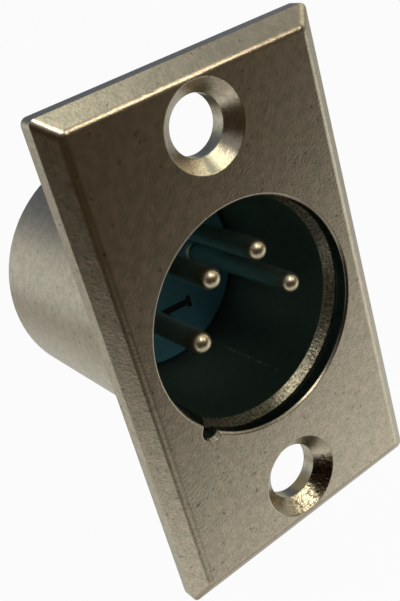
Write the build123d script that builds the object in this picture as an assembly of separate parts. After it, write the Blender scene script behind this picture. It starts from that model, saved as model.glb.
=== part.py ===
from build123d import *
from math import cos, radians, sin, sqrt
import os

# Four-pin panel connector, male half, with a rectangular bevelled flange. Sizes are in millimetres.
# X points right as the front is faced, Z is up and Y points back, through the panel.
# The origin is on the barrel's axis, in the rear face of the flange, which sits on the panel.
# Angles about the axis count anticlockwise from the right as the front is faced.

# Flange of the shell
FLANGE_WIDTH = 22.2
FLANGE_HEIGHT = 37.8
FLANGE_THICKNESS = 2.2
FLANGE_CORNER_RADIUS = 0.5
BEVEL_WIDTH = 1.3
BEVEL_DEPTH = 1.1
FACE_CORNER_RADIUS = 0.5
FACE_EDGE_RADIUS = 0.8

# Countersunk screw holes in the flange
HOLE_SPACING = 28.4
HOLE_DIAMETER = 4.3
COUNTERSINK_DIAMETER = 6.4
COUNTERSINK_ANGLE = 90

# Barrel of the shell, with its bore, the slightly wider mouth and the pocket for the insert
BORE_DIAMETER = 16.5
BARREL_WALL = 1.55
BARREL_LENGTH = 18.5
BARREL_END_CHAMFER = 0.8
MOUTH_STEP = 0.25
MOUTH_CHAMFER = 0.15
POCKET_STEP = 0.35
POCKET_CHAMFER = 0.3

# Groove round the mouth of the bore for the plug's latch, with a sloping rear wall
GROOVE_SETBACK = 1.1
GROOVE_FLOOR_WIDTH = 0.6
GROOVE_DEPTH = 0.6
GROOVE_SLOPE_LENGTH = 0.6

# Keyway along the bore, flared where it opens in the flange
KEYWAY_ANGLE = 225
KEYWAY_WIDTH = 1.3
KEYWAY_DEPTH = 1.0
KEYWAY_FLARE = 0.2
KEYWAY_FLARE_DEPTH = 0.35

# Moulded insert, in two halves that hold the contacts between them
INSERT_RECESS = 0.5
INSERT_CLEARANCE = 0.05
INSERT_CHAMFER = 0.25
NOSE_HEIGHT = 0.4
NOSE_GAP = 0.4
FRONT_HALF_THICKNESS = 3.0
REAR_HALF_THICKNESS = 3.3
KEY_CLEARANCE = 0.08

# Contacts, turned pins with a solder cup at the back, numbered clockwise from the left as the
# front is faced; the tips stand at uneven depths
PIN_DIAMETER = 1.6
SHANK_DIAMETER = 2.0
PIN_CIRCLE_DIAMETER = 8.9
PIN_PITCH_ANGLE = 60
PIN_TIP_DEPTHS = (0.2, 0.4, 0.7, 0.9)
CONTACT_CLEARANCE = 0.03
CONTACT_HOLE_CHAMFER = 0.1
COLLAR_DIAMETER = 3.2
COLLAR_THICKNESS = 0.8
CUP_DIAMETER = 2.6
CUP_BORE_DIAMETER = 1.8
CUP_BORE_DEPTH = 3.6
CUP_REACH = 4.6
CUP_WINDOW_LENGTH = 2.6
CUP_WINDOW_HEIGHT = 0.7
CUP_BOSS_WALL = 0.6
CUP_BOSS_HEIGHT = 0.3

# Ground tab, a bent strip between the insert and the shell
TAB_WIDTH = 3.0
TAB_THICKNESS = 0.4
TAB_BEND_RADIUS = 0.5
TAB_FOOT_LENGTH = 2.0
TAB_REACH = 5.2
TAB_HOLE_DIAMETER = 1.4
TAB_CLEARANCE = 0.05

# Set screw that locks the insert in the shell
SCREW_ANGLE = 315
SCREW_DIAMETER = 2.5
SCREW_CLEARANCE = 0.03
SCREW_SINK = 0.25
SCREW_POINT_DIAMETER = 1.5
SCREW_POINT_LENGTH = 0.9
SCREW_SLOT_WIDTH = 0.45
SCREW_SLOT_DEPTH = 0.45

# Radii, depths and places worked out from the sizes above
FACE_Y = -FLANGE_THICKNESS
BORE_RADIUS = BORE_DIAMETER / 2
BARREL_RADIUS = BORE_RADIUS + BARREL_WALL
MOUTH_RADIUS = BORE_RADIUS + MOUTH_STEP
GROOVE_RADIUS = BORE_RADIUS + GROOVE_DEPTH
GROOVE_START_Y = FACE_Y + GROOVE_SETBACK
GROOVE_END_Y = GROOVE_START_Y + GROOVE_FLOOR_WIDTH + GROOVE_SLOPE_LENGTH
POCKET_RADIUS = BORE_RADIUS + POCKET_STEP
KEYWAY_REACH = BORE_RADIUS + KEYWAY_DEPTH
INSERT_RADIUS = POCKET_RADIUS - INSERT_CLEARANCE
NOSE_RADIUS = BORE_RADIUS - NOSE_GAP
INSERT_END_Y = BARREL_LENGTH - INSERT_RECESS
JOINT_Y = INSERT_END_Y - REAR_HALF_THICKNESS
SHOULDER_Y = JOINT_Y - FRONT_HALF_THICKNESS
NOSE_Y = SHOULDER_Y - NOSE_HEIGHT
PIN_RADIUS = PIN_DIAMETER / 2
SHANK_RADIUS = SHANK_DIAMETER / 2
PIN_COUNT = len(PIN_TIP_DEPTHS)
PIN_ANGLES = [90 + PIN_PITCH_ANGLE * ((PIN_COUNT - 1) / 2 - place) for place in range(PIN_COUNT)]
CUP_END_Y = INSERT_END_Y + CUP_REACH
TAB_OUTER = sqrt((POCKET_RADIUS - TAB_CLEARANCE) ** 2 - (TAB_WIDTH / 2) ** 2)
TAB_INNER = TAB_OUTER - TAB_THICKNESS
TAB_END_Y = BARREL_LENGTH + TAB_REACH
SCREW_Y = (JOINT_Y + INSERT_END_Y) / 2
# Length by which a cutting tool runs past the surface that it opens
OVERRUN = 1.0


def front_plane(y):
    """Plane parallel to the flange at the given Y, facing the front."""
    return Plane.XZ.offset(-y)


def turned(*corners):
    """Solid turned about the barrel's axis, from corners given as radius and Y."""
    return revolve(make_face(Polyline(*corners, close=True)), Axis.Y)


def rod(radius, start_y, end_y):
    """Round rod along the barrel's axis."""
    return extrude(front_plane(end_y) * Circle(radius), end_y - start_y)


def at_pin(angle, piece):
    """The piece moved from the axis to the pin circle, its right side turned outwards."""
    offset = PIN_CIRCLE_DIAMETER / 2
    place = Pos(offset * cos(radians(angle)), 0, offset * sin(radians(angle)))
    return place * Rot(0, -angle, 0) * piece


def at_screw(height, piece):
    """The piece moved out to a height above the axis, along the set screw's own axis."""
    outward = Vector(cos(radians(SCREW_ANGLE)), 0, sin(radians(SCREW_ANGLE)))
    return Plane(origin=(0, SCREW_Y, 0), x_dir=(0, 1, 0), z_dir=outward) * Pos(0, 0, height) * piece


def key_outline(width, reach, y):
    """Outline of a bar that runs from the axis out to the keyway, with a round end."""
    return front_plane(y) * Rot(0, 0, KEYWAY_ANGLE) * Pos(reach / 2, 0) * SlotOverall(reach, width)


def key_bar(width, reach, start_y, end_y):
    """Bar from the axis out to the keyway, as long as the given stretch."""
    return extrude(key_outline(width, reach, end_y), end_y - start_y)


def flange_blank():
    """Plate with rounded corners and a bevel all round its front face."""
    bevel_y = FACE_Y + BEVEL_DEPTH
    outline = RectangleRounded(FLANGE_WIDTH, FLANGE_HEIGHT, FLANGE_CORNER_RADIUS)
    face_width = FLANGE_WIDTH - 2 * BEVEL_WIDTH
    face_height = FLANGE_HEIGHT - 2 * BEVEL_WIDTH
    face = RectangleRounded(face_width, face_height, FACE_CORNER_RADIUS)
    side = extrude(front_plane(0) * outline, -bevel_y)
    bevel = loft([front_plane(bevel_y) * outline, front_plane(FACE_Y) * face])
    blank = side + bevel
    return fillet(blank.faces().sort_by(Axis.Y)[0].edges(), FACE_EDGE_RADIUS)


def barrel_blank():
    """Solid barrel with a chamfered rear edge, starting inside the flange."""
    barrel = rod(BARREL_RADIUS, FACE_Y / 2, BARREL_LENGTH)
    return chamfer(barrel.edges().sort_by(Axis.Y)[-1], BARREL_END_CHAMFER)


def bore_space():
    """Space inside the shell: mouth, latch groove, bore, and the pocket that takes the insert."""
    return turned(
        (0, FACE_Y - OVERRUN),
        (MOUTH_RADIUS + MOUTH_CHAMFER, FACE_Y - OVERRUN),
        (MOUTH_RADIUS + MOUTH_CHAMFER, FACE_Y),
        (MOUTH_RADIUS, FACE_Y + MOUTH_CHAMFER),
        (MOUTH_RADIUS, GROOVE_START_Y),
        (GROOVE_RADIUS, GROOVE_START_Y),
        (GROOVE_RADIUS, GROOVE_START_Y + GROOVE_FLOOR_WIDTH),
        (BORE_RADIUS, GROOVE_END_Y),
        (BORE_RADIUS, SHOULDER_Y),
        (POCKET_RADIUS, SHOULDER_Y),
        (POCKET_RADIUS, BARREL_LENGTH - POCKET_CHAMFER),
        (POCKET_RADIUS + POCKET_CHAMFER, BARREL_LENGTH),
        (POCKET_RADIUS + POCKET_CHAMFER, BARREL_LENGTH + OVERRUN),
        (0, BARREL_LENGTH + OVERRUN),
    )


def keyway_space():
    """Keyway from end to end of the shell, with the flare at its front."""
    wide = key_outline(KEYWAY_WIDTH + 2 * KEYWAY_FLARE, KEYWAY_REACH + KEYWAY_FLARE, FACE_Y)
    narrow = key_outline(KEYWAY_WIDTH, KEYWAY_REACH, FACE_Y + KEYWAY_FLARE_DEPTH)
    key = key_bar(KEYWAY_WIDTH, KEYWAY_REACH, FACE_Y - OVERRUN, BARREL_LENGTH + OVERRUN)
    return key + loft([wide, narrow])


def screw_holes():
    """Two countersunk holes, above and below the barrel."""
    hole = CounterSinkHole(
        HOLE_DIAMETER / 2, COUNTERSINK_DIAMETER / 2, FLANGE_THICKNESS + OVERRUN, COUNTERSINK_ANGLE
    )
    places = GridLocations(0, HOLE_SPACING, 1, 2)
    return [front_plane(FACE_Y) * place * hole for place in places]


def make_shell():
    """Flange and barrel, cast in one piece."""
    shell = flange_blank() + barrel_blank() - bore_space() - keyway_space()
    shell -= screw_holes()
    tapping = Cylinder(SCREW_DIAMETER / 2 + SCREW_CLEARANCE, 2 * BARREL_WALL)
    return shell - at_screw(BARREL_RADIUS, tapping)


def insert_key(start_y, end_y):
    """Rib on the rim of the insert that stops it from turning in the shell."""
    width = KEYWAY_WIDTH - 2 * KEY_CLEARANCE
    return key_bar(width, KEYWAY_REACH - KEY_CLEARANCE, start_y, end_y)


def make_insert_front():
    """Front half of the insert: the disc seen down the bore, with its nose inside the shoulder."""
    half = turned(
        (0, NOSE_Y),
        (NOSE_RADIUS - INSERT_CHAMFER, NOSE_Y),
        (NOSE_RADIUS, NOSE_Y + INSERT_CHAMFER),
        (NOSE_RADIUS, SHOULDER_Y),
        (INSERT_RADIUS, SHOULDER_Y),
        (INSERT_RADIUS, JOINT_Y),
        (0, JOINT_Y),
    )
    half += insert_key(SHOULDER_Y, JOINT_Y)
    shank_hole = SHANK_RADIUS + CONTACT_CLEARANCE
    collar_hole = COLLAR_DIAMETER / 2 + CONTACT_CLEARANCE
    hole = turned(
        (0, NOSE_Y),
        (shank_hole + CONTACT_HOLE_CHAMFER, NOSE_Y),
        (shank_hole, NOSE_Y + CONTACT_HOLE_CHAMFER),
        (shank_hole, JOINT_Y - COLLAR_THICKNESS),
        (collar_hole, JOINT_Y - COLLAR_THICKNESS),
        (collar_hole, JOINT_Y),
        (0, JOINT_Y),
    )
    return half - [at_pin(angle, hole) for angle in PIN_ANGLES]


def rounded(outline, corner, radius):
    """The outline with the one of its corners that lies at a given place rounded."""
    return fillet(outline.vertices().sort_by_distance((*corner, 0))[0], radius)


def tab_seat():
    """Space for the ground tab along the rear half of the insert, open to the shell."""
    outer = INSERT_RADIUS + OVERRUN
    inner = TAB_INNER - TAB_CLEARANCE
    foot_top = TAB_INNER - TAB_FOOT_LENGTH - TAB_CLEARANCE
    corner = (JOINT_Y + TAB_THICKNESS, -inner)
    outline = make_face(
        Polyline(
            (JOINT_Y - OVERRUN, -outer),
            (INSERT_END_Y + OVERRUN, -outer),
            (INSERT_END_Y + OVERRUN, -inner),
            corner,
            (JOINT_Y + TAB_THICKNESS, -foot_top),
            (JOINT_Y - OVERRUN, -foot_top),
            close=True,
        )
    )
    outline = rounded(outline, corner, TAB_BEND_RADIUS)
    return extrude(Plane.YZ * outline, TAB_WIDTH / 2 + TAB_CLEARANCE, both=True)


def make_insert_rear():
    """Rear half of the insert, with a low boss round each solder cup."""
    half = turned(
        (0, JOINT_Y),
        (INSERT_RADIUS, JOINT_Y),
        (INSERT_RADIUS, INSERT_END_Y - INSERT_CHAMFER),
        (INSERT_RADIUS - INSERT_CHAMFER, INSERT_END_Y),
        (0, INSERT_END_Y),
    )
    half += insert_key(JOINT_Y, INSERT_END_Y)
    boss = rod(CUP_DIAMETER / 2 + CUP_BOSS_WALL, INSERT_END_Y - OVERRUN, INSERT_END_Y + CUP_BOSS_HEIGHT)
    half += [at_pin(angle, boss) for angle in PIN_ANGLES]
    hole = rod(CUP_DIAMETER / 2 + CONTACT_CLEARANCE, JOINT_Y - OVERRUN, INSERT_END_Y + OVERRUN)
    half -= [at_pin(angle, hole) for angle in PIN_ANGLES]
    half -= tab_seat()
    point_hole = Cylinder(
        SCREW_POINT_DIAMETER / 2 + SCREW_CLEARANCE, 2 * (SCREW_POINT_LENGTH + SCREW_CLEARANCE)
    )
    return half - at_screw(POCKET_RADIUS, point_hole)


def make_contact(tip_depth):
    """Turned contact on the barrel's axis: domed pin, shank, collar and cup open to the right."""
    tip_y = FACE_Y + tip_depth + PIN_RADIUS
    collar_y = JOINT_Y - COLLAR_THICKNESS
    collar_radius = COLLAR_DIAMETER / 2
    cup_radius = CUP_DIAMETER / 2
    bore_radius = CUP_BORE_DIAMETER / 2
    contact = turned(
        (0, tip_y),
        (PIN_RADIUS, tip_y),
        (PIN_RADIUS, NOSE_Y),
        (SHANK_RADIUS, NOSE_Y + SHANK_RADIUS - PIN_RADIUS),
        (SHANK_RADIUS, collar_y),
        (collar_radius, collar_y),
        (collar_radius, JOINT_Y),
        (cup_radius, JOINT_Y),
        (cup_radius, CUP_END_Y),
        (0, CUP_END_Y),
    )
    contact += Pos(0, tip_y, 0) * Sphere(PIN_RADIUS)
    drilled_y = CUP_END_Y - CUP_BORE_DEPTH
    contact -= turned(
        (0, drilled_y - bore_radius / 2),
        (bore_radius, drilled_y),
        (bore_radius, CUP_END_Y + OVERRUN),
        (0, CUP_END_Y + OVERRUN),
    )
    window_y = CUP_END_Y - CUP_WINDOW_LENGTH
    window = Polyline(
        (CUP_WINDOW_HEIGHT, CUP_END_Y + OVERRUN),
        (CUP_WINDOW_HEIGHT, window_y),
        (cup_radius + OVERRUN, window_y - cup_radius),
        (cup_radius + OVERRUN, CUP_END_Y + OVERRUN),
        close=True,
    )
    return contact - extrude(make_face(window), cup_radius + OVERRUN, both=True)


def make_ground_tab():
    """Strip bent over at the front, with a round eyelet behind the shell."""
    foot_top = TAB_INNER - TAB_FOOT_LENGTH
    heel = (JOINT_Y, -TAB_OUTER)
    corner = (JOINT_Y + TAB_THICKNESS, -TAB_INNER)
    outline = make_face(
        Polyline(
            heel,
            (TAB_END_Y, -TAB_OUTER),
            (TAB_END_Y, -TAB_INNER),
            corner,
            (JOINT_Y + TAB_THICKNESS, -foot_top),
            (JOINT_Y, -foot_top),
            close=True,
        )
    )
    outline = rounded(outline, heel, TAB_BEND_RADIUS + TAB_THICKNESS)
    outline = rounded(outline, corner, TAB_BEND_RADIUS)
    strip = extrude(Plane.YZ * outline, TAB_WIDTH / 2, both=True)
    eye_y = TAB_END_Y - TAB_WIDTH / 2
    plan = Pos(0, (FACE_Y + eye_y) / 2) * Rectangle(TAB_WIDTH, eye_y - FACE_Y)
    plan += Pos(0, eye_y) * Circle(TAB_WIDTH / 2)
    plan -= Pos(0, eye_y) * Circle(TAB_HOLE_DIAMETER / 2)
    return strip & extrude(plan, -POCKET_RADIUS)


def make_lock_screw():
    """Slotted set screw whose point enters the rear half of the insert."""
    top = BARREL_RADIUS - SCREW_SINK
    length = top - POCKET_RADIUS
    at_base = (Align.CENTER, Align.CENTER, Align.MIN)
    at_top = (Align.CENTER, Align.CENTER, Align.MAX)
    screw = Cylinder(SCREW_DIAMETER / 2, length, align=at_base)
    screw += Cylinder(SCREW_POINT_DIAMETER / 2, SCREW_POINT_LENGTH, align=at_top)
    slot = Box(SCREW_DIAMETER, SCREW_SLOT_WIDTH, SCREW_SLOT_DEPTH, align=at_top)
    screw -= Pos(0, 0, length) * slot
    return at_screw(POCKET_RADIUS, screw)


def save(piece, name):
    """Write one piece to its own file."""
    export_step(piece, f"parts/{name}.step")


os.makedirs("parts", exist_ok=True)
save(make_shell(), "shell")
save(make_insert_front(), "insert_front")
save(make_insert_rear(), "insert_rear")
save(make_ground_tab(), "ground_tab")
save(make_lock_screw(), "lock_screw")
for number, (angle, depth) in enumerate(zip(PIN_ANGLES, PIN_TIP_DEPTHS), start=1):
    save(at_pin(angle, make_contact(depth)), f"contact_{number}")
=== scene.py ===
from math import radians

import bpy
from mathutils import Matrix, Vector


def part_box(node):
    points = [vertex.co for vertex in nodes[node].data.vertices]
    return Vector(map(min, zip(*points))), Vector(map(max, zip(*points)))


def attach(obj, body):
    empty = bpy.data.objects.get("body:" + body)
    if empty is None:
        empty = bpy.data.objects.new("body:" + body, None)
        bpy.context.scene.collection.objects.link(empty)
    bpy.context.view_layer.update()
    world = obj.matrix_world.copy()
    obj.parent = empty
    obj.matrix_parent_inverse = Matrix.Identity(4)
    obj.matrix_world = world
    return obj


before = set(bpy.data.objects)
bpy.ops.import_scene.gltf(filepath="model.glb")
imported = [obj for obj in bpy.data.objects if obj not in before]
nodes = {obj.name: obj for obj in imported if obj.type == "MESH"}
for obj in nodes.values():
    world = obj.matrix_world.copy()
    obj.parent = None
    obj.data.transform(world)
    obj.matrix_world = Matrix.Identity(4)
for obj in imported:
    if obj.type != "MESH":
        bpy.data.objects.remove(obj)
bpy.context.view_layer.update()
MM = 0.001


# Shell
# One zinc die casting: a rectangular flange with a bevelled front, and a round barrel behind it. It is
# tumbled and plated with satin nickel, which leaves a fine grain like orange peel. The latch groove and
# the lower countersink keep the coarse, dull skin of the casting, and the bore is hardly plated at all.

def colour(code):
    """Linear colour from an sRGB hex code."""
    channels = [int(code[start:start + 2], 16) / 255 for start in (0, 2, 4)]
    linear = [c / 12.92 if c <= 0.04045 else ((c + 0.055) / 1.055) ** 2.4 for c in channels]
    return (*linear, 1.0)


def add_node(tree, kind, inputs=None, **settings):
    """Add a node; an input takes a value, a socket, or a node, whose first live output is linked."""
    node = tree.nodes.new(kind)
    for name, value in settings.items():
        setattr(node, name, value)
    for name, value in (inputs or {}).items():
        live = [socket for socket in node.inputs if socket.enabled and socket.name == name]
        socket = live[0] if live else node.inputs[name]
        if isinstance(value, bpy.types.Node):
            value = next(output for output in value.outputs if output.enabled)
        if isinstance(value, bpy.types.NodeSocket):
            tree.links.new(value, socket)
        else:
            socket.default_value = value
    return node


def new_material(name):
    """Empty node material, its tree, and the place on the object in millimetres."""
    material = bpy.data.materials.new(name)
    material.use_nodes = True
    tree = material.node_tree
    tree.nodes.clear()
    metres = add_node(tree, "ShaderNodeTexCoord").outputs["Object"]
    place = add_node(tree, "ShaderNodeVectorMath", {0: metres, "Scale": 1 / MM}, operation="SCALE")
    return material, tree, place


def dress(piece, material):
    """Give a piece one material."""
    piece.data.materials.clear()
    piece.data.materials.append(material)


# Sizes of the casting in millimetres, as in the CAD, and two directions across the bore. Finishes give
# way to each other within SOFT of an edge, and the edge of the cast skin strays by up to RAGGEDNESS.
FLANGE_FRONT_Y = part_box("shell")[0][1] / MM
MOUTH_RADIUS = 8.5
LIP_WIDTH = 0.2
LIP_RADIUS = MOUTH_RADIUS + LIP_WIDTH
GROOVE_RADIUS = 8.85
GROOVE_START = 1.1
GROOVE_END = 2.3
BORE_END = 13.5
HOLE_HEIGHT = 14.2
SINK_RADIUS = 3.2
SINK_DEPTH = 1.1
SOFT = 0.05
EDGE_WEAR = 0.12
RAGGEDNESS = 1.6
# The lamp lights the lower right of the bore, and painted shade is left off the groove there
HIGHLIT_SIDE = (0.788, 0.0, -0.616)
SEAM_NORMAL = (0.934, 0.0, 0.358)

satin_nickel, tree, place = new_material("satin_nickel_on_zinc_casting")

# Patterns of the skin, each with the size of its blotches in millimetres, its detail and its harshness:
# dimples left by tumbling, ripples, blotches, clouding, small pits, the coarse skin of the casting, its
# finer skin in the groove, and the breaks in the seam of the bore
pattern = {}
for name, size, detail, harshness in (
    ("grain", 0.2, 3.0, 0.6),
    ("ripple", 0.9, 2.0, 0.5),
    ("blotch", 0.7, 3.0, 0.6),
    ("cloud", 3.0, 2.0, 0.5),
    ("pits", 0.35, 1.0, 0.5),
    ("coarse", 0.4, 3.0, 0.65),
    ("fine", 0.22, 3.0, 0.65),
    ("breaks", 0.5, 2.0, 0.5),
):
    pattern[name] = add_node(
        tree, "ShaderNodeTexNoise",
        {"Vector": place, "Scale": 1 / size, "Detail": detail, "Roughness": harshness},
    )

# Where a point lies: behind the front face, from the axes of the bore and of the two screw holes,
# towards the lower right of the bore, which the lamp lights, and beside its seam; the edge of the cast
# skin is ragged
parts = add_node(tree, "ShaderNodeSeparateXYZ", {0: place}).outputs
depth = add_node(tree, "ShaderNodeMath", {0: parts["Y"], 1: FLANGE_FRONT_Y}, operation="SUBTRACT")
across = add_node(tree, "ShaderNodeCombineXYZ", {"X": parts["X"], "Z": parts["Z"]})
from_bore, from_upper_hole, from_lower_hole = [
    add_node(tree, "ShaderNodeVectorMath", {0: across, 1: (0.0, 0.0, height)}, operation="DISTANCE")
    for height in (0.0, HOLE_HEIGHT, -HOLE_HEIGHT)
]
towards_highlit, beside_seam = [
    add_node(tree, "ShaderNodeVectorMath", {0: across, 1: direction}, operation="DOT_PRODUCT")
    for direction in (HIGHLIT_SIDE, SEAM_NORMAL)
]
from_middle, from_seam = [
    add_node(tree, "ShaderNodeMath", {0: distance}, operation="ABSOLUTE")
    for distance in (parts["X"], beside_seam)
]
ragged_across, ragged_up = [
    add_node(
        tree, "ShaderNodeMath", {0: pattern["coarse"], 1: RAGGEDNESS, 2: parts[axis]},
        operation="MULTIPLY_ADD",
    )
    for axis in "XZ"
]

# Smooth changes over the shell: what each follows, where it starts and ends, and its two values
fade = {}
for name, value, start, end, low, high in (
    # Places in the mouth and the bore
    ("in bore", from_bore, GROOVE_RADIUS + 2 * SOFT, GROOVE_RADIUS + SOFT, 0.0, 1.0),
    ("past groove", depth, GROOVE_END - SOFT, GROOVE_END + SOFT, 0.0, 1.0),
    ("past mouth", depth, GROOVE_START - SOFT, GROOVE_START + SOFT, 0.0, 1.0),
    ("before bore", depth, GROOVE_END + SOFT, GROOVE_END - SOFT, 0.0, 1.0),
    ("round mouth", from_bore, LIP_RADIUS + SOFT, LIP_RADIUS - SOFT, 0.0, 1.0),
    ("before groove", depth, GROOVE_START, GROOVE_START - LIP_WIDTH, 0.0, 1.0),
    # Places in the countersinks; the cast skin shows below the lower hole and to its right
    ("in sink", depth, SINK_DEPTH + SOFT, SINK_DEPTH - SOFT, 0.0, 1.0),
    ("round upper hole", from_upper_hole, SINK_RADIUS + 2 * SOFT, SINK_RADIUS - 2 * SOFT, 0.0, 1.0),
    ("round lower hole", from_lower_hole, SINK_RADIUS + 2 * SOFT, SINK_RADIUS - 2 * SOFT, 0.0, 1.0),
    ("below upper hole", parts["Z"], HOLE_HEIGHT - 0.3, HOLE_HEIGHT - 1.5, 0.0, 1.0),
    ("near middle", from_middle, 1.6, 0.5, 0.0, 1.0),
    ("below lower hole", ragged_up, 0.9 - HOLE_HEIGHT, -0.1 - HOLE_HEIGHT, 0.0, 1.0),
    ("right of hole", ragged_across, -0.6, 0.1, 0.0, 1.0),
    # Painted shade: black on the cast skin right of the lower hole
    ("shade beside lower hole", ragged_across, 1.4, 2.3, 0.0, 1.0),
    # Painted light and shade on the film in the bore: lighter from front to back and on the right,
    # darker at the bottom
    ("along bore", depth, GROOVE_END, BORE_END, 0.0, 1.0),
    ("bore right", parts["X"], 4.0, 8.0, 1.0, 1.7),
    ("bore bottom", parts["Z"], -3.0, -8.0, 1.0, 0.7),
    # The faint seam on the bore's wall: its width, where it starts, and where it is worn away
    ("on seam", from_seam, 0.14, 0.04, 0.0, 1.0),
    ("seam below", parts["Z"], -6.5, -7.0, 0.0, 0.22),
    ("seam start", depth, 3.6, 4.6, 0.0, 1.0),
    ("seam left", pattern["breaks"], 0.38, 0.6, 0.0, 1.0),
    # Tone: blotches, specks in the dimples, pits, and cracks in the coarse and in the finer skin
    ("blotches", pattern["blotch"], 0.35, 0.65, 0.0, 0.6),
    ("specks", pattern["grain"], 0.3, 0.6, 0.85, 1.0),
    ("pits", pattern["pits"], 0.71, 0.77, 1.0, 0.55),
    ("coarse cracks", pattern["coarse"], 0.37, 0.48, 0.35, 1.0),
    ("fine cracks", pattern["fine"], 0.36, 0.60, 0.4, 1.0),
    # Painted shade darkens the groove except on its lower right, where the lamp's highlight falls, and a
    # painted dark reflection darkens the lip towards that side
    ("groove grime", towards_highlit, 5.1, 7.4, 0.2, 1.0),
    ("lip grime", towards_highlit, -1.0, 2.0, 1.0, 0.55),
    ("satin", pattern["grain"], 0.3, 0.7, 0.27, 0.20),
):
    fade[name] = add_node(
        tree, "ShaderNodeMapRange",
        {"Value": value, "From Min": start, "From Max": end, "To Min": low, "To Max": high},
        interpolation_type="SMOOTHSTEP",
    )

# Shares of the look that belong to one region of the shell, each the product of some of those changes
share = {}
for name, *factors in (
    ("bore", "in bore", "past groove"),
    ("groove", "in bore", "past mouth", "before bore"),
    ("lip", "round mouth", "before groove"),
    ("glinting upper sink", "round upper hole", "in sink", "below upper hole", "near middle"),
    ("cast sink", "round lower hole", "in sink", "below lower hole", "right of hole"),
    ("seam", "on seam", "seam below", "seam start", "seam left"),
    ("painted light in bore", "bore right", "bore bottom"),
):
    share[name] = fade[factors[0]]
    for factor in factors[1:]:
        share[name] = add_node(
            tree, "ShaderNodeMath", {0: share[name], 1: fade[factor]}, operation="MULTIPLY"
        )

# The plating, clouded in two tones of warm grey
CLOUDING = 0.4
patches = add_node(
    tree, "ShaderNodeMath", {0: pattern["cloud"], 1: CLOUDING, 2: fade["blotches"]},
    operation="MULTIPLY_ADD",
)
tint = add_node(
    tree, "ShaderNodeMix", {"Factor": patches, "A": colour("dacdb8"), "B": colour("bfbaa6")},
    data_type="RGBA",
)

# The cast skin below the lower hole is painted pale gold as a painted highlight, and black beside it as
# painted shade
glint_and_shade = add_node(
    tree, "ShaderNodeMix", {"Factor": fade["shade beside lower hole"], "A": colour("fff6d6"), "B": colour("5a4e3e")},
    data_type="RGBA",
)

# The bore has a thin, dull green-grey film, painted lighter towards the back and on the right as painted
# light and darker at the bottom as painted shade, with a faint pale seam left by the core of the die
film_with_painted_light = add_node(
    tree, "ShaderNodeMix", {"Factor": fade["along bore"], "A": colour("36493f"), "B": colour("627a71")},
    data_type="RGBA",
)
film_with_painted_light = add_node(tree, "ShaderNodeVectorMath", {0: film_with_painted_light, "Scale": share["painted light in bore"]}, operation="SCALE")
film_with_painted_light = add_node(
    tree, "ShaderNodeMix", {"Factor": share["seam"], "A": film_with_painted_light, "B": colour("c9cfc0")}, data_type="RGBA"
)

# Each skin lies over the plating in its own region; the bottom of the upper countersink is painted the
# same pale gold as a painted highlight
for region, skin in (
    ("groove", colour("b0ac97")),
    ("cast sink", glint_and_shade),
    ("glinting upper sink", colour("fff6d6")),
    ("bore", film_with_painted_light),
):
    tint = add_node(
        tree, "ShaderNodeMix", {"Factor": share[region], "A": tint, "B": skin}, data_type="RGBA"
    )

# Specks and pits darken the whole shell, and cracks and painted shade only their own regions
marks = [fade["specks"], fade["pits"]]
for region, mark in (
    ("cast sink", "coarse cracks"),
    ("groove", "fine cracks"),
    ("groove", "groove grime"),
    ("lip", "lip grime"),
):
    marks.append(add_node(tree, "ShaderNodeMix", {"Factor": share[region], "A": 1.0, "B": fade[mark]}))
for mark in marks:
    tint = add_node(tree, "ShaderNodeVectorMath", {0: tint, "Scale": mark}, operation="SCALE")

# The bore and the groove are duller than the satin plating, and the film makes the bore less metallic
BORE_DULLING = 0.25
GROOVE_DULLING = 0.06
FILM_COVER = 0.55
roughness = fade["satin"]
for region, dulling in (("bore", BORE_DULLING), ("groove", GROOVE_DULLING)):
    roughness = add_node(
        tree, "ShaderNodeMath", {0: share[region], 1: dulling, 2: roughness}, operation="MULTIPLY_ADD"
    )
metallic = add_node(
    tree, "ShaderNodeMath", {0: share["bore"], 1: -FILM_COVER, 2: 1.0}, operation="MULTIPLY_ADD"
)

# Relief: worn edges, dimples and ripples everywhere, and the two cast skins in their own regions
normal = add_node(tree, "ShaderNodeBevel", {"Radius": EDGE_WEAR * MM}, samples=6)
for skin, strength, height in (
    ("grain", 0.18, 0.05),
    ("ripple", 0.08, 0.06),
    ("coarse", share["cast sink"], 0.09),
    ("fine", share["groove"], 0.05),
):
    normal = add_node(
        tree, "ShaderNodeBump",
        {"Height": pattern[skin], "Strength": strength, "Distance": height * MM, "Normal": normal},
    )
plated = add_node(
    tree, "ShaderNodeBsdfPrincipled",
    {"Base Color": tint, "Metallic": metallic, "Roughness": roughness, "Normal": normal},
)
add_node(tree, "ShaderNodeOutputMaterial", {"Surface": plated})
dress(nodes["shell"], satin_nickel)


# Insert
# Two compression mouldings in a dark teal thermoset, which hold the contacts between them. They have
# the faint mottling and low gloss of a mineral-filled moulding, and painted shade in the joint round the
# front face. A numeral, painted dark as painted shade, lies on its side on that face, and each solder
# cup has its number on the rear one.

INSERT_FACE_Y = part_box("insert_front")[0][1] / MM
JOINT_RADIUS = 7.6
JOINT_WIDTH = 0.15
JOINT_DEPTH = 0.6
JOINT_FADE = 0.3
JOINT_SHADE_TONE = 0.12

moulded_plastic, tree, place = new_material("moulded_teal_thermoset")
mottling = add_node(tree, "ShaderNodeTexNoise", {"Vector": place, "Scale": 1 / 0.8, "Detail": 4.0})
teal = add_node(
    tree, "ShaderNodeMix", {"Factor": mottling, "A": colour("437f97"), "B": colour("5594aa")},
    data_type="RGBA",
)
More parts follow.
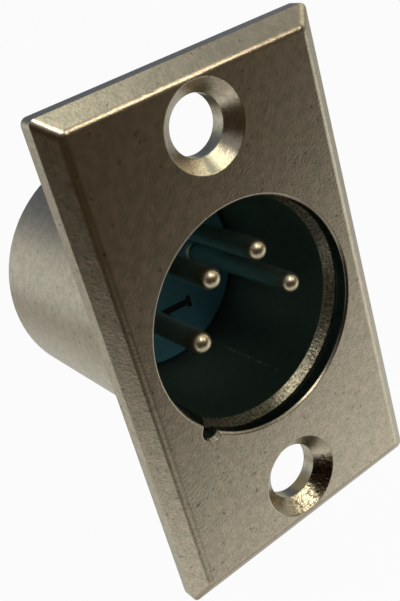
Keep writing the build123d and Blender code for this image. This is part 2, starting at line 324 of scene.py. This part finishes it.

# The joint round the front face, where painted shade takes most of the light
parts = add_node(tree, "ShaderNodeSeparateXYZ", {0: place}).outputs
across = add_node(tree, "ShaderNodeCombineXYZ", {"X": parts["X"], "Z": parts["Z"]})
from_axis = add_node(tree, "ShaderNodeVectorMath", {0: across}, operation="LENGTH")
at_rim, at_face = [
    add_node(
        tree, "ShaderNodeMapRange", {"Value": value, "From Min": start, "From Max": end},
        interpolation_type="SMOOTHSTEP",
    )
    for value, start, end in (
        (from_axis, JOINT_RADIUS, JOINT_RADIUS + JOINT_WIDTH),
        (parts["Y"], INSERT_FACE_Y + JOINT_DEPTH + JOINT_FADE, INSERT_FACE_Y + JOINT_DEPTH),
    )
]
joint = add_node(tree, "ShaderNodeMath", {0: at_rim, 1: at_face}, operation="MULTIPLY")
# Painted shade darkens the teal in the joint to 0.12 of its tone
painted_shade = add_node(
    tree, "ShaderNodeMapRange", {"Value": joint, "To Min": 1.0, "To Max": JOINT_SHADE_TONE},
    interpolation_type="SMOOTHSTEP",
)
teal_in_painted_shade = add_node(tree, "ShaderNodeVectorMath", {0: teal, "Scale": painted_shade}, operation="SCALE")
# Grains of the mineral filler, drawn 0.11 mm across because real ones are too fine to show
filler = add_node(tree, "ShaderNodeTexNoise", {"Vector": place, "Scale": 1 / 0.11})
moulded_skin = add_node(
    tree, "ShaderNodeBump", {"Height": filler, "Strength": 0.2, "Distance": 0.02 * MM}
)
moulding = add_node(
    tree, "ShaderNodeBsdfPrincipled",
    {"Base Color": teal_in_painted_shade, "Roughness": 0.42, "IOR": 1.5, "Normal": moulded_skin},
)
add_node(tree, "ShaderNodeOutputMaterial", {"Surface": moulding})
dress(nodes["insert_front"], moulded_plastic)
dress(nodes["insert_rear"], moulded_plastic)

# The numeral stands in the shade of the bore, and is painted near-black as painted shade, darker than
# the face
relief_in_painted_shade, tree, place = new_material("moulded_relief_in_painted_shade")
shade_blotches = add_node(tree, "ShaderNodeTexNoise", {"Vector": place, "Scale": 1 / 0.3, "Detail": 3.0})
painted_shade = add_node(
    tree, "ShaderNodeMix", {"Factor": shade_blotches, "A": colour("10181a"), "B": colour("1d2a2e")},
    data_type="RGBA",
)
filler = add_node(tree, "ShaderNodeTexNoise", {"Vector": place, "Scale": 1 / 0.1})
moulded_skin = add_node(
    tree, "ShaderNodeBump", {"Height": filler, "Strength": 0.3, "Distance": 0.02 * MM}
)
relief = add_node(
    tree, "ShaderNodeBsdfPrincipled", {"Base Color": painted_shade, "Roughness": 0.6, "Normal": moulded_skin}
)
add_node(tree, "ShaderNodeOutputMaterial", {"Surface": relief})

# Numeral one, as places across and up from the middle of its foot, turned to lie with its top leftwards
NUMERAL_RELIEF = 0.12
RELIEF_SUNK = 0.02
NUMERAL_FOOT = (2.5, -3.7)
NUMERAL_LEAN = 0.07
outline = [
    (-0.5, 0.0), (0.5, 0.0), (0.5, 0.32), (0.27, 0.32), (0.27, 2.9), (-0.2, 2.9), (-0.55, 2.45),
    (-0.55, 2.1), (-0.23, 2.3), (-0.23, 0.32), (-0.5, 0.32),
]
flat = [(NUMERAL_FOOT[0] - up, NUMERAL_FOOT[1] + over + NUMERAL_LEAN * up) for over, up in outline]
count = len(flat)
points = [
    (x * MM, y * MM, z * MM)
    for y in (INSERT_FACE_Y - NUMERAL_RELIEF, INSERT_FACE_Y + RELIEF_SUNK) for x, z in flat
]
top = tuple(range(count))
base = tuple(reversed(range(count, 2 * count)))
sides = [(k, k + count, (k + 1) % count + count, (k + 1) % count) for k in range(count)]
numeral_mesh = bpy.data.meshes.new("cavity_numeral")
numeral_mesh.from_pydata(points, [], [top, base, *sides])
numeral = bpy.data.objects.new("cavity_numeral", numeral_mesh)
bpy.context.scene.collection.objects.link(numeral)
dress(numeral, relief_in_painted_shade)
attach(numeral, "root")

# The cup numbers stand on the rear face outside the cups, the right way round for whoever solders
# there. They are drawn flat, on a circle that starts at the right and runs anticlockwise, and then stood
# up. A digit of the built-in lettering is 0.7 of its size high.
CUPS = 4
CUP_BOSS_HEIGHT = 0.3
DIGIT_SHARE = 0.7
REAR_FACE_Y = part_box("insert_rear")[1][1] / MM - CUP_BOSS_HEIGHT
cup_numbers = {
    "Circle Radius": 7.3 * MM, "Digit Height": 1.4 * MM, "Relief": 0.2 * MM,
    "First Angle": radians(0), "Angle Step": radians(60), "Base": (REAR_FACE_Y - RELIEF_SUNK) * MM,
}
tree = bpy.data.node_groups.new("cup_numbers", "GeometryNodeTree")
for name in cup_numbers:
    tree.interface.new_socket(name=name, in_out="INPUT", socket_type="NodeSocketFloat")
tree.interface.new_socket(name="Geometry", in_out="OUTPUT", socket_type="NodeSocketGeometry")
given = add_node(tree, "NodeGroupInput").outputs
size = add_node(tree, "ShaderNodeMath", {0: given["Digit Height"], 1: DIGIT_SHARE}, operation="DIVIDE")
digits = add_node(tree, "GeometryNodeJoinGeometry")
for cup in range(CUPS):
    angle = add_node(
        tree, "ShaderNodeMath", {0: given["Angle Step"], 1: cup, 2: given["First Angle"]},
        operation="MULTIPLY_ADD",
    )
    right, up = [
        add_node(tree, "ShaderNodeMath", {0: angle}, operation=side) for side in ("COSINE", "SINE")
    ]
    outwards = add_node(tree, "ShaderNodeCombineXYZ", {"X": right, "Y": up})
    spot = add_node(
        tree, "ShaderNodeVectorMath", {0: outwards, "Scale": given["Circle Radius"]}, operation="SCALE"
    )
    digit = add_node(
        tree, "GeometryNodeStringToCurves", {"String": str(cup + 1), "Size": size},
        align_x="CENTER", align_y="MIDDLE",
    )
    placed = add_node(tree, "GeometryNodeTransform", {"Geometry": digit, "Translation": spot})
    tree.links.new(placed.outputs[0], digits.inputs[0])
outlines = add_node(tree, "GeometryNodeRealizeInstances", {"Geometry": digits})
filled = add_node(tree, "GeometryNodeFillCurve", {"Curve": outlines})
raised = add_node(
    tree, "GeometryNodeExtrudeMesh",
    {"Mesh": filled, "Offset Scale": given["Relief"], "Individual": False},
)
foot = add_node(tree, "GeometryNodeFlipFaces", {"Mesh": filled})
closed = add_node(tree, "GeometryNodeJoinGeometry")
for half in (raised, foot):
    tree.links.new(half.outputs[0], closed.inputs[0])
welded = add_node(tree, "GeometryNodeMergeByDistance", {"Geometry": closed, "Distance": 0.001 * MM})
turned = add_node(tree, "GeometryNodeTransform", {
    "Geometry": welded, "Rotation": (radians(90), 0.0, radians(180)),
    "Translation": add_node(tree, "ShaderNodeCombineXYZ", {"Y": given["Base"]}),
})
plain = add_node(tree, "GeometryNodeRealizeInstances", {"Geometry": turned})
coloured = add_node(tree, "GeometryNodeSetMaterial", {"Geometry": plain, "Material": moulded_plastic})
add_node(tree, "NodeGroupOutput", {0: coloured})

numbers = bpy.data.objects.new("cup_numbers", bpy.data.meshes.new("cup_numbers"))
bpy.context.scene.collection.objects.link(numbers)
modifier = numbers.modifiers.new("cup_numbers", "NODES")
modifier.node_group = tree
for socket in tree.interface.items_tree:
    if socket.name in cup_numbers:
        modifier[socket.identifier] = cup_numbers[socket.name]
baked = bpy.data.meshes.new_from_object(numbers.evaluated_get(bpy.context.evaluated_depsgraph_get()))
numbers.modifiers.remove(modifier)
numbers.data = baked
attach(numbers, "root")


# Contacts
# Four pins turned from brass bar and silver plated, each with a solder cup drilled in its rear end. The
# tip is domed and polished, and the plating has yellowed; inside the bore, the shafts are painted pale
# green as a painted reflection of the greenish bore. Marks of the lathe's feed run round the shafts,
# drawn at 0.08 mm, as finer ones would not show.

# Turning marks a millimetre across, along and up, and where the painted green reflection starts and ends
# along the shaft
FEED_MARKS = (0.4, 12.0, 0.4)
PAINTED_GREEN_FRONT = (-1.2, 0.3)
PAINTED_GREEN_REAR = (13.0, 11.5)

silver_plate, tree, place = new_material("silver_plate_on_turned_brass")
yellowing = add_node(tree, "ShaderNodeTexNoise", {"Vector": place, "Scale": 1 / 1.2})
bright = add_node(
    tree, "ShaderNodeMix", {"Factor": yellowing, "A": colour("e6dcc4"), "B": colour("c9bb9c")},
    data_type="RGBA",
)
along = add_node(tree, "ShaderNodeSeparateXYZ", {0: place}).outputs["Y"]
behind_tip, before_seat = [
    add_node(
        tree, "ShaderNodeMapRange", {"Value": along, "From Min": start, "From Max": end},
        interpolation_type="SMOOTHSTEP",
    )
    for start, end in (PAINTED_GREEN_FRONT, PAINTED_GREEN_REAR)
]
in_bore = add_node(tree, "ShaderNodeMath", {0: behind_tip, 1: before_seat}, operation="MULTIPLY")
# Painted reflection: inside the bore the shafts turn pale green
plate = add_node(
    tree, "ShaderNodeMix", {"Factor": in_bore, "A": bright, "B": colour("e8f4ea")}, data_type="RGBA"
)
stretched = add_node(tree, "ShaderNodeMapping", {"Vector": place, "Scale": FEED_MARKS})
feed_marks = add_node(tree, "ShaderNodeTexNoise", {"Vector": stretched, "Scale": 1.0, "Detail": 3.0})
turned_skin = add_node(
    tree, "ShaderNodeBump", {"Height": feed_marks, "Strength": 0.15, "Distance": 0.01 * MM}
)
silver = add_node(
    tree, "ShaderNodeBsdfPrincipled",
    {"Base Color": plate, "Metallic": 1.0, "Roughness": 0.33, "Normal": turned_skin},
)
add_node(tree, "ShaderNodeOutputMaterial", {"Surface": silver})
for number in range(1, 5):
    dress(nodes[f"contact_{number}"], silver_plate)


# Ground tab
# A strip of tinned brass, blanked, pierced and bent over, and caught between the insert's halves.
# The tin is soft and dull, with fine scratches along the strip.

# Scratches a millimetre across, along and up
SCRATCHES = (9.0, 0.7, 9.0)

tinned_strip, tree, place = new_material("tinned_brass_strip")
stretched = add_node(tree, "ShaderNodeMapping", {"Vector": place, "Scale": SCRATCHES})
scratch = add_node(tree, "ShaderNodeTexNoise", {"Vector": stretched, "Scale": 1.0, "Detail": 3.0})
tin = add_node(
    tree, "ShaderNodeMix", {"Factor": scratch, "A": colour("b9b7ae"), "B": colour("d2d0c8")},
    data_type="RGBA",
)
scratched = add_node(
    tree, "ShaderNodeBump", {"Height": scratch, "Strength": 0.25, "Distance": 0.01 * MM}
)
tinned = add_node(
    tree, "ShaderNodeBsdfPrincipled",
    {"Base Color": tin, "Metallic": 1.0, "Roughness": 0.36, "Normal": scratched},
)
add_node(tree, "ShaderNodeOutputMaterial", {"Surface": tinned})
dress(nodes["ground_tab"], tinned_strip)


# Set screw
# A slotted screw turned from steel and zinc plated, which locks the insert in the barrel.
# Its plating is matt and faintly spotted.

zinc_plate, tree, place = new_material("zinc_plated_turned_steel")
spots = add_node(tree, "ShaderNodeTexNoise", {"Vector": place, "Scale": 1 / 0.25, "Detail": 3.0})
zinc = add_node(
    tree, "ShaderNodeMix", {"Factor": spots, "A": colour("8f9091"), "B": colour("b4b5b3")},
    data_type="RGBA",
)
spotted = add_node(tree, "ShaderNodeBump", {"Height": spots, "Strength": 0.2, "Distance": 0.02 * MM})
plated_steel = add_node(
    tree, "ShaderNodeBsdfPrincipled",
    {"Base Color": zinc, "Metallic": 1.0, "Roughness": 0.34, "Normal": spotted},
)
add_node(tree, "ShaderNodeOutputMaterial", {"Surface": plated_steel})
dress(nodes["lock_screw"], zinc_plate)


# Studio
# A plain pale floor well below the connector, two warm soft lamps, one at the front right and one above
# the front, and a room whose light and dark parts give the plating its tones. The room is white only to
# the camera.

FLOOR_Z = -60.0
FLOOR_REACH = 2000.0
FLOOR_GLOW = 0.95

floor_mesh = bpy.data.meshes.new("floor")
corners = [
    (x * FLOOR_REACH * MM, y * FLOOR_REACH * MM, FLOOR_Z * MM)
    for x, y in ((-1, -1), (1, -1), (1, 1), (-1, 1))
]
floor_mesh.from_pydata(corners, [], [(0, 1, 2, 3)])
floor = bpy.data.objects.new("floor", floor_mesh)
bpy.context.scene.collection.objects.link(floor)
floor.visible_glossy = False

white_floor, tree, place = new_material("pale_floor")
camera_ray = add_node(tree, "ShaderNodeLightPath").outputs["Is Camera Ray"]
glowing = add_node(tree, "ShaderNodeMath", {0: camera_ray, 1: FLOOR_GLOW}, operation="MULTIPLY")
paper = add_node(tree, "ShaderNodeBsdfDiffuse", {"Color": colour("e8e8e6")})
glow = add_node(tree, "ShaderNodeEmission", {"Color": colour("ffffff"), "Strength": 1.0})
pale = add_node(tree, "ShaderNodeMixShader", {0: glowing, 1: paper, 2: glow})
add_node(tree, "ShaderNodeOutputMaterial", {"Surface": pale})
dress(floor, white_floor)

# Square soft lamps, each in a direction from the connector and facing it
LAMP_DISTANCE = 260.0
LAMP_SIZE = 80.0
for name, direction, power, light in (
    ("key", (0.459, -0.734, 0.500), 0.06, "fff0d8"),
    ("top", (0.0, -0.669, 0.743), 0.10, "fff6e6"),
):
    lamp = bpy.data.lights.new(name, "AREA")
    lamp.shape = "SQUARE"
    lamp.size = LAMP_SIZE * MM
    lamp.energy = power
    lamp.color = colour(light)[:3]
    holder = bpy.data.objects.new(name, lamp)
    bpy.context.scene.collection.objects.link(holder)
    towards = Vector(direction).normalized()
    facing = towards.to_track_quat("Z", "Y").to_matrix().to_4x4()
    holder.matrix_world = Matrix.Translation(towards * LAMP_DISTANCE * MM) @ facing

# Light in the room, as linear red, green and blue, because some of it is stronger than white paper
PALE_WALLS = (0.64, 0.66, 0.65, 1.0)
NEAR_TABLE = (0.91, 0.905, 0.86, 1.0)
MID_TABLE = (0.58, 0.58, 0.54, 1.0)
FAR_TABLE = (0.41, 0.40, 0.37, 1.0)
UNDERSIDE = (0.45, 0.42, 0.38, 1.0)
DIM_SIDE = (0.36, 0.34, 0.29, 1.0)
DIM_HEIGHT = (0.24, 0.24, 0.25, 1.0)
DIM_BACK = (0.13, 0.15, 0.19, 1.0)
DARK_FRONT = (0.036, 0.024, 0.012, 1.0)
DARK_RIGHT = (0.085, 0.068, 0.048, 1.0)
TABLE_EDGE = (0.58, 0.57, 0.52, 1.0)
LIT_CEILING = (1.25, 1.27, 1.09, 1.0)
LIT_SIDE = (0.95, 0.88, 0.74, 1.0)
WHITE = (1.0, 1.0, 1.0, 1.0)

world = bpy.data.worlds.new("room")
bpy.context.scene.world = world
world.use_nodes = True
tree = world.node_tree
tree.nodes.clear()
ray = add_node(tree, "ShaderNodeTexCoord").outputs["Generated"]
way = add_node(tree, "ShaderNodeSeparateXYZ", {0: ray}).outputs

# How near a ray comes to the middle of each patch of light or dark, as the cosine between them
nearness = {}
for name, aim in (
    ("high behind", (0.30, 0.75, 0.55)),
    ("in front", (-0.20, -0.86, 0.47)),
    ("table's near edge", (-0.107, -0.606, -0.788)),
    ("overhead", (0.220, -0.415, 0.883)),
    ("lit side", (0.88, -0.08, 0.47)),
):
    nearness[name] = add_node(
        tree, "ShaderNodeVectorMath", {0: ray, 1: Vector(aim).normalized()}, operation="DOT_PRODUCT"
    )

# Smooth changes over the room: what each follows of the ray, and where it starts and ends
change = {}
for name, value, start, end in (
    ("steeply down", way["Z"], -0.30, -0.62),
    ("table in front", way["Y"], 0.25, -0.25),
    ("right wall", way["X"], 0.55, 0.95),
    ("down", way["Z"], -0.08, -0.32),
    ("straight down", way["Z"], -0.65, -0.92),
    ("up", way["Z"], 0.05, 0.60),
    ("high behind", nearness["high behind"], 0.60, 0.95),
    ("in front", nearness["in front"], 0.12, 0.37),
    ("not too high", way["Z"], 0.64, 0.36),
    ("not far left", way["X"], -1.0, -0.90),
    ("front right", way["X"], 0.15, 0.70),
    ("table's near edge", nearness["table's near edge"], 0.90, 0.985),
    ("overhead", nearness["overhead"], 0.94, 1.0),
    ("lit side", nearness["lit side"], 0.90, 0.985),
):
    change[name] = add_node(
        tree, "ShaderNodeMapRange", {"Value": value, "From Min": start, "From Max": end},
        interpolation_type="SMOOTHSTEP",
    )
dark_share = change["in front"]
for limit in ("not too high", "not far left"):
    dark_share = add_node(
        tree, "ShaderNodeMath", {0: dark_share, 1: change[limit]}, operation="MULTIPLY"
    )

# A pale table, shaded at its far side, and darkness in front of it that is lighter to the right
far_table, dark = [
    add_node(tree, "ShaderNodeMix", {"Factor": change[name], "A": first, "B": second}, data_type="RGBA")
    for name, first, second in (
        ("steeply down", FAR_TABLE, MID_TABLE),
        ("front right", DARK_FRONT, DARK_RIGHT),
    )
]
table = add_node(
    tree, "ShaderNodeMix", {"Factor": change["table in front"], "A": far_table, "B": NEAR_TABLE},
    data_type="RGBA",
)

# Pale walls stand at the left and behind. Everything else in the room lies over them, in this order,
# and last comes the white that only the camera sees.
camera_ray = add_node(tree, "ShaderNodeLightPath").outputs["Is Camera Ray"]
light = PALE_WALLS
for amount, laid_over in (
    (change["right wall"], DIM_SIDE),
    (change["down"], table),
    (change["straight down"], UNDERSIDE),
    (change["up"], DIM_HEIGHT),
    (change["high behind"], DIM_BACK),
    (dark_share, dark),
    (change["table's near edge"], TABLE_EDGE),
    (change["overhead"], LIT_CEILING),
    (change["lit side"], LIT_SIDE),
    (camera_ray, WHITE),
):
    light = add_node(
        tree, "ShaderNodeMix", {"Factor": amount, "A": light, "B": laid_over}, data_type="RGBA"
    )
room = add_node(tree, "ShaderNodeBackground", {"Color": light, "Strength": 1.0})
add_node(tree, "ShaderNodeOutputWorld", {"Surface": room})

# The camera stands where the photograph was taken from; its place and its shift come from a fit to the
# edges of the flange, the two holes, the rim of the bore and the outline of the barrel
CAMERA_PLACE = (-32.147, -52.798, 31.971)
CAMERA_RIGHT = (0.77769, -0.57319, -0.25816)
CAMERA_UP = (0.43030, 0.18598, 0.88332)
CAMERA_VIEW = (0.45830, 0.79804, -0.39128)

camera = bpy.data.cameras.new("camera")
camera.sensor_width = 36.0
camera.lens = 57.87
camera.shift_x = 0.0052
camera.shift_y = -0.0935
camera.clip_start = 0.005
camera.clip_end = 20.0
holder = bpy.data.objects.new("camera", camera)
bpy.context.scene.collection.objects.link(holder)
turn = Matrix((Vector(CAMERA_RIGHT), Vector(CAMERA_UP), -Vector(CAMERA_VIEW))).transposed().to_4x4()
holder.matrix_world = Matrix.Translation(Vector(CAMERA_PLACE) * MM) @ turn
bpy.context.scene.camera = holder
bpy.context.scene.view_settings.view_transform = "Standard"
